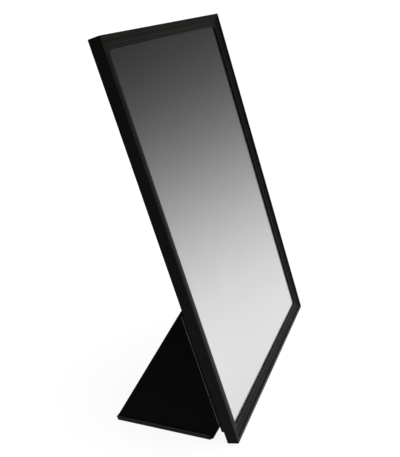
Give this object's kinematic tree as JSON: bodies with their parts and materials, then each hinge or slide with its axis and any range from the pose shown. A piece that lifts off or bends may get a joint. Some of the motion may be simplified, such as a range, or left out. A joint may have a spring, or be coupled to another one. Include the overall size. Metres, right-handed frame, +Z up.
{
  "type": "countertop mirror",
  "caption": "Free-standing countertop mirror: black stepped frame leaning back on fold-out triangular steel wings that fold flat behind it.",
  "frame": {"origin": "on the counter, under the middle of the object's bounding box, with the wings folded out", "axes": "+Z up from the counter; -Y is the side the mirror faces; +X is to the right of a person looking into the mirror"},
  "size_m": [0.25, 0.1214, 0.3472],
  "materials": {
    "frame": "satin moulded black",
    "mirror": "back-silvered, polished",
    "foam": "soft white sheet foam",
    "back_board": "black-stained hardboard",
    "screw": "black countersunk",
    "black_steel": "satin black powder coat",
    "rivet": "black dome head",
    "pin": "drawn steel rod",
    "edging": "matte black rubber"
  },
  "bodies": {
    "mirror_head": {"frame": "frame", "mirror_glass": "mirror", "foam_sheet": "foam", "back_panel": "back_board", "panel_screws": "screw", "left_hinge_leaf": "black_steel", "left_leaf_rivets": "rivet", "left_hinge_pin": "pin", "right_hinge_leaf": "black_steel", "right_leaf_rivets": "rivet", "right_hinge_pin": "pin"},
    "left_stand": {"left_wing": "black_steel", "left_wing_leaf": "black_steel", "left_foot_edging": "edging"},
    "right_stand": {"right_wing": "black_steel", "right_wing_leaf": "black_steel", "right_foot_edging": "edging"}
  },
  "joints": [
    {"name": "left_wing_fold", "type": "hinge", "parent": "mirror_head", "child": "left_stand", "pos_m": [-0.12055, -0.03089, 0.06587], "axis": [0, -0.2504, -0.9681], "range_deg": [0, 90]},
    {"name": "right_wing_fold", "type": "hinge", "parent": "mirror_head", "child": "right_stand", "pos_m": [0.12055, -0.03089, 0.06587], "axis": [0, 0.2504, 0.9681], "range_deg": [0, 90]}
  ]
}
